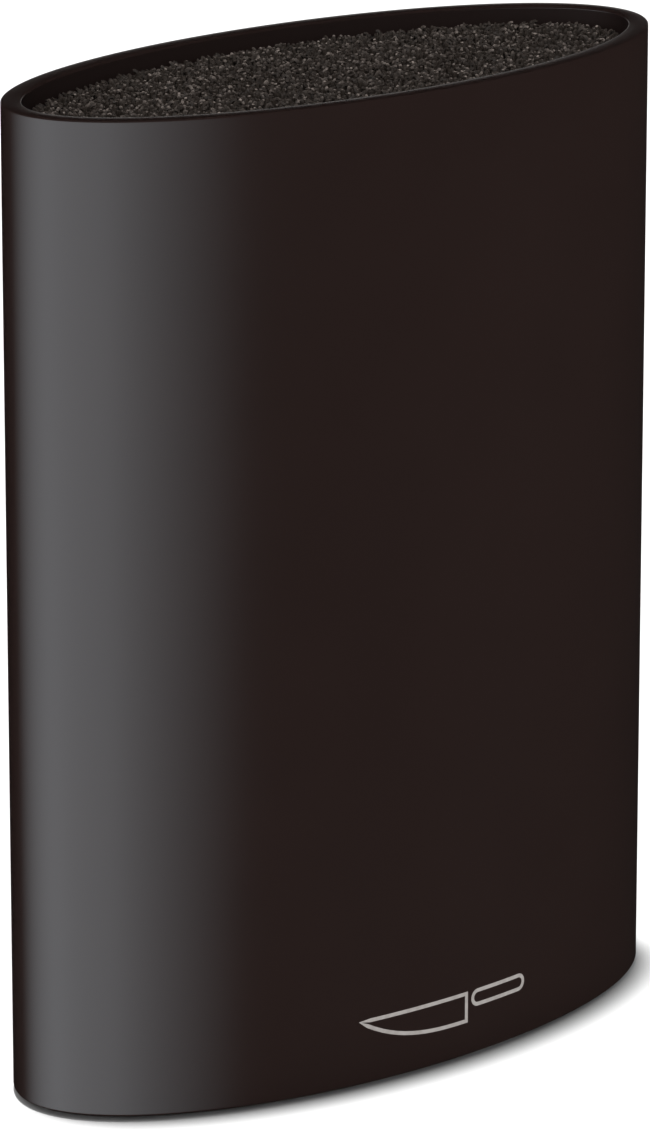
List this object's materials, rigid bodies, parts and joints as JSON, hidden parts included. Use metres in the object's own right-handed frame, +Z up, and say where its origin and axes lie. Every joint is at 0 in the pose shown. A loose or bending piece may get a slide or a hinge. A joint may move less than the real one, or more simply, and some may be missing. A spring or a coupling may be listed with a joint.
{
  "type": "knife block",
  "caption": "Oval free-standing universal knife block: a dark moulded shell with a flat rim and a lift-out insert packed with upright plastic filaments that hold blades anywhere.",
  "frame": {"origin": "on the floor, under the middle of the oval", "axes": "+Z up, the tallest extent; +X along the oval's long axis; +Y along its short axis, towards the back"},
  "size_m": [0.18, 0.082, 0.225],
  "materials": {
    "shell": "fine satin moulded texture, very dark warm brown-black",
    "liner": "satin moulded black",
    "filament": "extruded dark grey filaments with cut and curled tips",
    "rubber": "matt",
    "steel": "zinc-plated screws"
  },
  "bodies": {
    "shell": {"base_plate": "shell", "base_screw_left_back": "steel", "base_screw_left_front": "steel", "base_screw_right_back": "steel", "base_screw_right_front": "steel", "foot_left_back": "rubber", "foot_left_front": "rubber", "foot_right_back": "rubber", "foot_right_front": "rubber", "outer_shell": "shell"},
    "insert": {"filament_root_slab": "filament", "filament_tuft_01": "filament", "filament_tuft_02": "filament", "filament_tuft_03": "filament", "filament_tuft_04": "filament", "filament_tuft_05": "filament", "filament_tuft_06": "filament", "filament_tuft_07": "filament", "filament_tuft_08": "filament", "filament_tuft_09": "filament", "filament_tuft_10": "filament", "filament_tuft_11": "filament", "filament_tuft_12": "filament", "filament_tuft_13": "filament", "filament_tuft_14": "filament", "filament_tuft_15": "filament", "filament_tuft_16": "filament", "filament_tuft_17": "filament", "filament_tuft_18": "filament", "filament_tuft_19": "filament", "filament_tuft_20": "filament", "filament_tuft_21": "filament", "filament_tuft_22": "filament", "filament_tuft_23": "filament", "filament_tuft_24": "filament", "filament_tuft_25": "filament", "filament_tuft_26": "filament", "filament_tuft_27": "filament", "filament_tuft_28": "filament", "filament_tuft_29": "filament", "filament_tuft_30": "filament", "filament_tuft_31": "filament", "filament_tuft_32": "filament", "filament_tuft_33": "filament", "filament_tuft_34": "filament", "filament_tuft_35": "filament", "filament_tuft_36": "filament", "filament_tuft_37": "filament", "filament_tuft_38": "filament", "filament_tuft_39": "filament", "filament_tuft_40": "filament", "filament_tuft_41": "filament", "filament_tuft_42": "filament", "filament_tuft_43": "filament", "filament_tuft_44": "filament", "filament_tuft_45": "filament", "insert_liner": "liner"}
  },
  "joints": [
    {"name": "insert_lift", "type": "slide", "parent": "shell", "child": "insert", "axis": [0, 0, 1], "range_m": [0, 0.23]}
  ]
}
